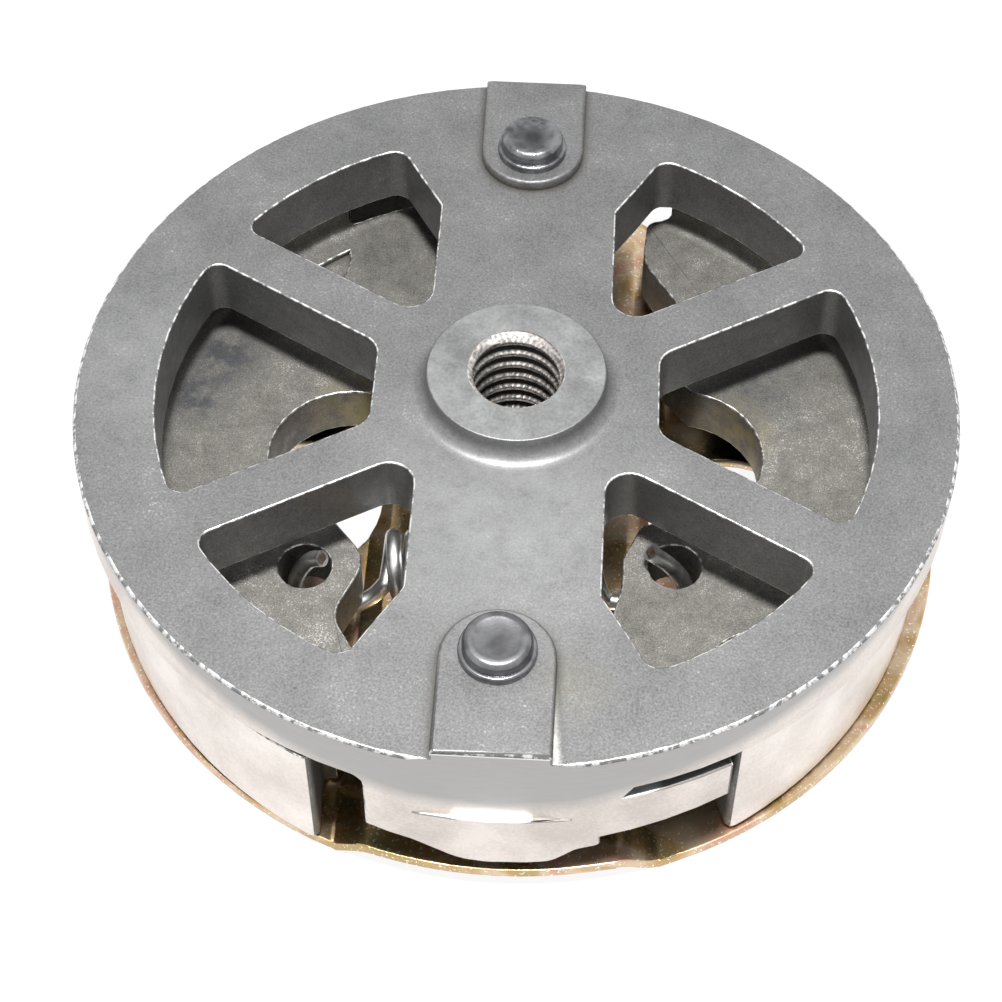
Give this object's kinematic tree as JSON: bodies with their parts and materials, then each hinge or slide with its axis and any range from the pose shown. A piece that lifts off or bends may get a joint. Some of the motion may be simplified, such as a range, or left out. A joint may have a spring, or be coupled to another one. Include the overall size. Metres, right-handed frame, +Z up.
{
  "type": "centrifugal clutch",
  "caption": "Two-shoe centrifugal clutch core: spoked carrier disc with threaded hub, sliding rim shoes held in by tension springs, and a riveted retainer plate.",
  "frame": {"origin": "on the hub's axis, at the underside of the retainer plate that the clutch rests on", "axes": "+Z up along the hub's axis towards the hub's raised face; the two rivets lie on the Y axis, the front one at -Y; the shoes move out along -X and +X"},
  "size_m": [0.0808, 0.0806, 0.0238],
  "materials": {
    "sintered_steel": "fine-grained satin",
    "shoe_steel": "fine-grained satin, ground outside",
    "zinc_plate": "yellow zinc",
    "rivet_steel": "dark polished",
    "spring_steel": "bright"
  },
  "bodies": {
    "carrier_body": {"carrier": "sintered_steel", "retainer_plate": "zinc_plate", "front_rivet": "rivet_steel", "rear_rivet": "rivet_steel", "front_spring": "spring_steel", "rear_spring": "spring_steel"},
    "left_shoe_body": {"left_shoe": "shoe_steel"},
    "right_shoe_body": {"right_shoe": "shoe_steel"}
  },
  "joints": [
    {"name": "left_shoe_slide", "type": "slide", "parent": "carrier_body", "child": "left_shoe_body", "axis": [-1, 0, 0], "range_m": [0, 0.002], "stiffness_N_per_m": 2000, "springref_m": -0.003, "deforming": ["front_spring", "rear_spring"]},
    {"name": "right_shoe_slide", "type": "slide", "parent": "carrier_body", "child": "right_shoe_body", "axis": [1, 0, 0], "range_m": [0, 0.002], "stiffness_N_per_m": 2000, "springref_m": -0.003, "deforming": ["front_spring", "rear_spring"]}
  ]
}
